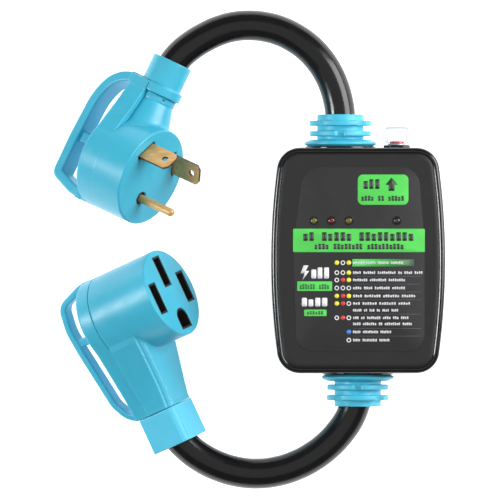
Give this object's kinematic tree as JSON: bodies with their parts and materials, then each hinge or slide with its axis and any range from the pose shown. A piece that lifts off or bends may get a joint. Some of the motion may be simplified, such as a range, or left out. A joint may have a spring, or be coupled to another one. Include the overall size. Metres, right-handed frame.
{
  "type": "surge protector plug",
  "caption": "In-line surge protector box with a reset button and two short cables, one to a bladed plug and one to a slotted connector, both with handles.",
  "frame": {"origin": "middle of the control box's back, which lies on the surface", "axes": "+Z out of the box's front, +Y along the box towards the plug's gland and the reset button, +X to the right of the label"},
  "size_m": [0.225, 0.2759, 0.0697],
  "materials": {
    "black_case": "glossy",
    "black_seal": "matt",
    "steel": "satin",
    "label_film": "satin",
    "green_label": "satin",
    "yellow_lens": "clear tinted",
    "red_lens": "clear tinted",
    "blue_lens": "clear tinted",
    "green_board": "satin",
    "led_clear": "clear",
    "blue_disc": "satin",
    "amber_film": "satin",
    "pale_block": "matt",
    "black_core": "satin",
    "white_core": "satin",
    "green_core": "satin",
    "black_nylon": "satin",
    "brass": "polished",
    "red_button": "glossy",
    "clear_boot": "clear",
    "cyan_gland": "satin",
    "black_jacket": "glossy",
    "cyan_shell": "satin"
  },
  "bodies": {
    "protector": {"rear_case": "black_case", "front_case": "black_case", "case_seal": "black_seal", "case_screws": "steel", "overlay_label": "label_film", "reset_sticker": "green_label", "title_bar": "green_label", "rating_badges": "green_label", "yellow_lenses": "yellow_lens", "red_lens": "red_lens", "blue_lens": "blue_lens", "circuit_board": "green_board", "board_screws": "steel", "led_lamps": "led_clear", "varistors": "blue_disc", "filter_capacitor": "amber_film", "thermal_fuses": "steel", "terminal_block": "pale_block", "block_screws": "steel", "hot_wires": "black_core", "neutral_wires": "white_core", "ground_wires": "green_core", "breaker_body": "black_nylon", "breaker_terminals": "brass", "breaker_bushing": "steel", "breaker_nut": "black_nylon", "reset_boot": "clear_boot", "upper_gland": "cyan_gland", "lower_gland": "cyan_gland", "gland_locknuts": "cyan_gland", "plug_cable": "black_jacket", "connector_cable": "black_jacket", "plug_front_shell": "cyan_shell", "plug_rear_cover": "cyan_shell", "plug_sleeve": "cyan_shell", "plug_blade_base": "black_nylon", "hot_blade": "brass", "neutral_blade": "brass", "ground_pin": "brass", "plug_cord_clamp": "steel", "plug_screws": "steel", "plug_wires": "black_core", "connector_front_shell": "cyan_shell", "connector_rear_cover": "cyan_shell", "connector_sleeve": "cyan_shell", "contact_carrier": "black_nylon", "hot_contacts": "brass", "neutral_contact": "brass", "ground_contact": "brass", "connector_cord_clamp": "steel", "connector_screws": "steel", "connector_wires": "black_core"},
    "button": {"reset_button": "red_button"}
  },
  "joints": [
    {"name": "reset_press", "type": "slide", "parent": "protector", "child": "button", "axis": [0, 1, 0], "range_m": [-0.001, 0.004]}
  ]
}
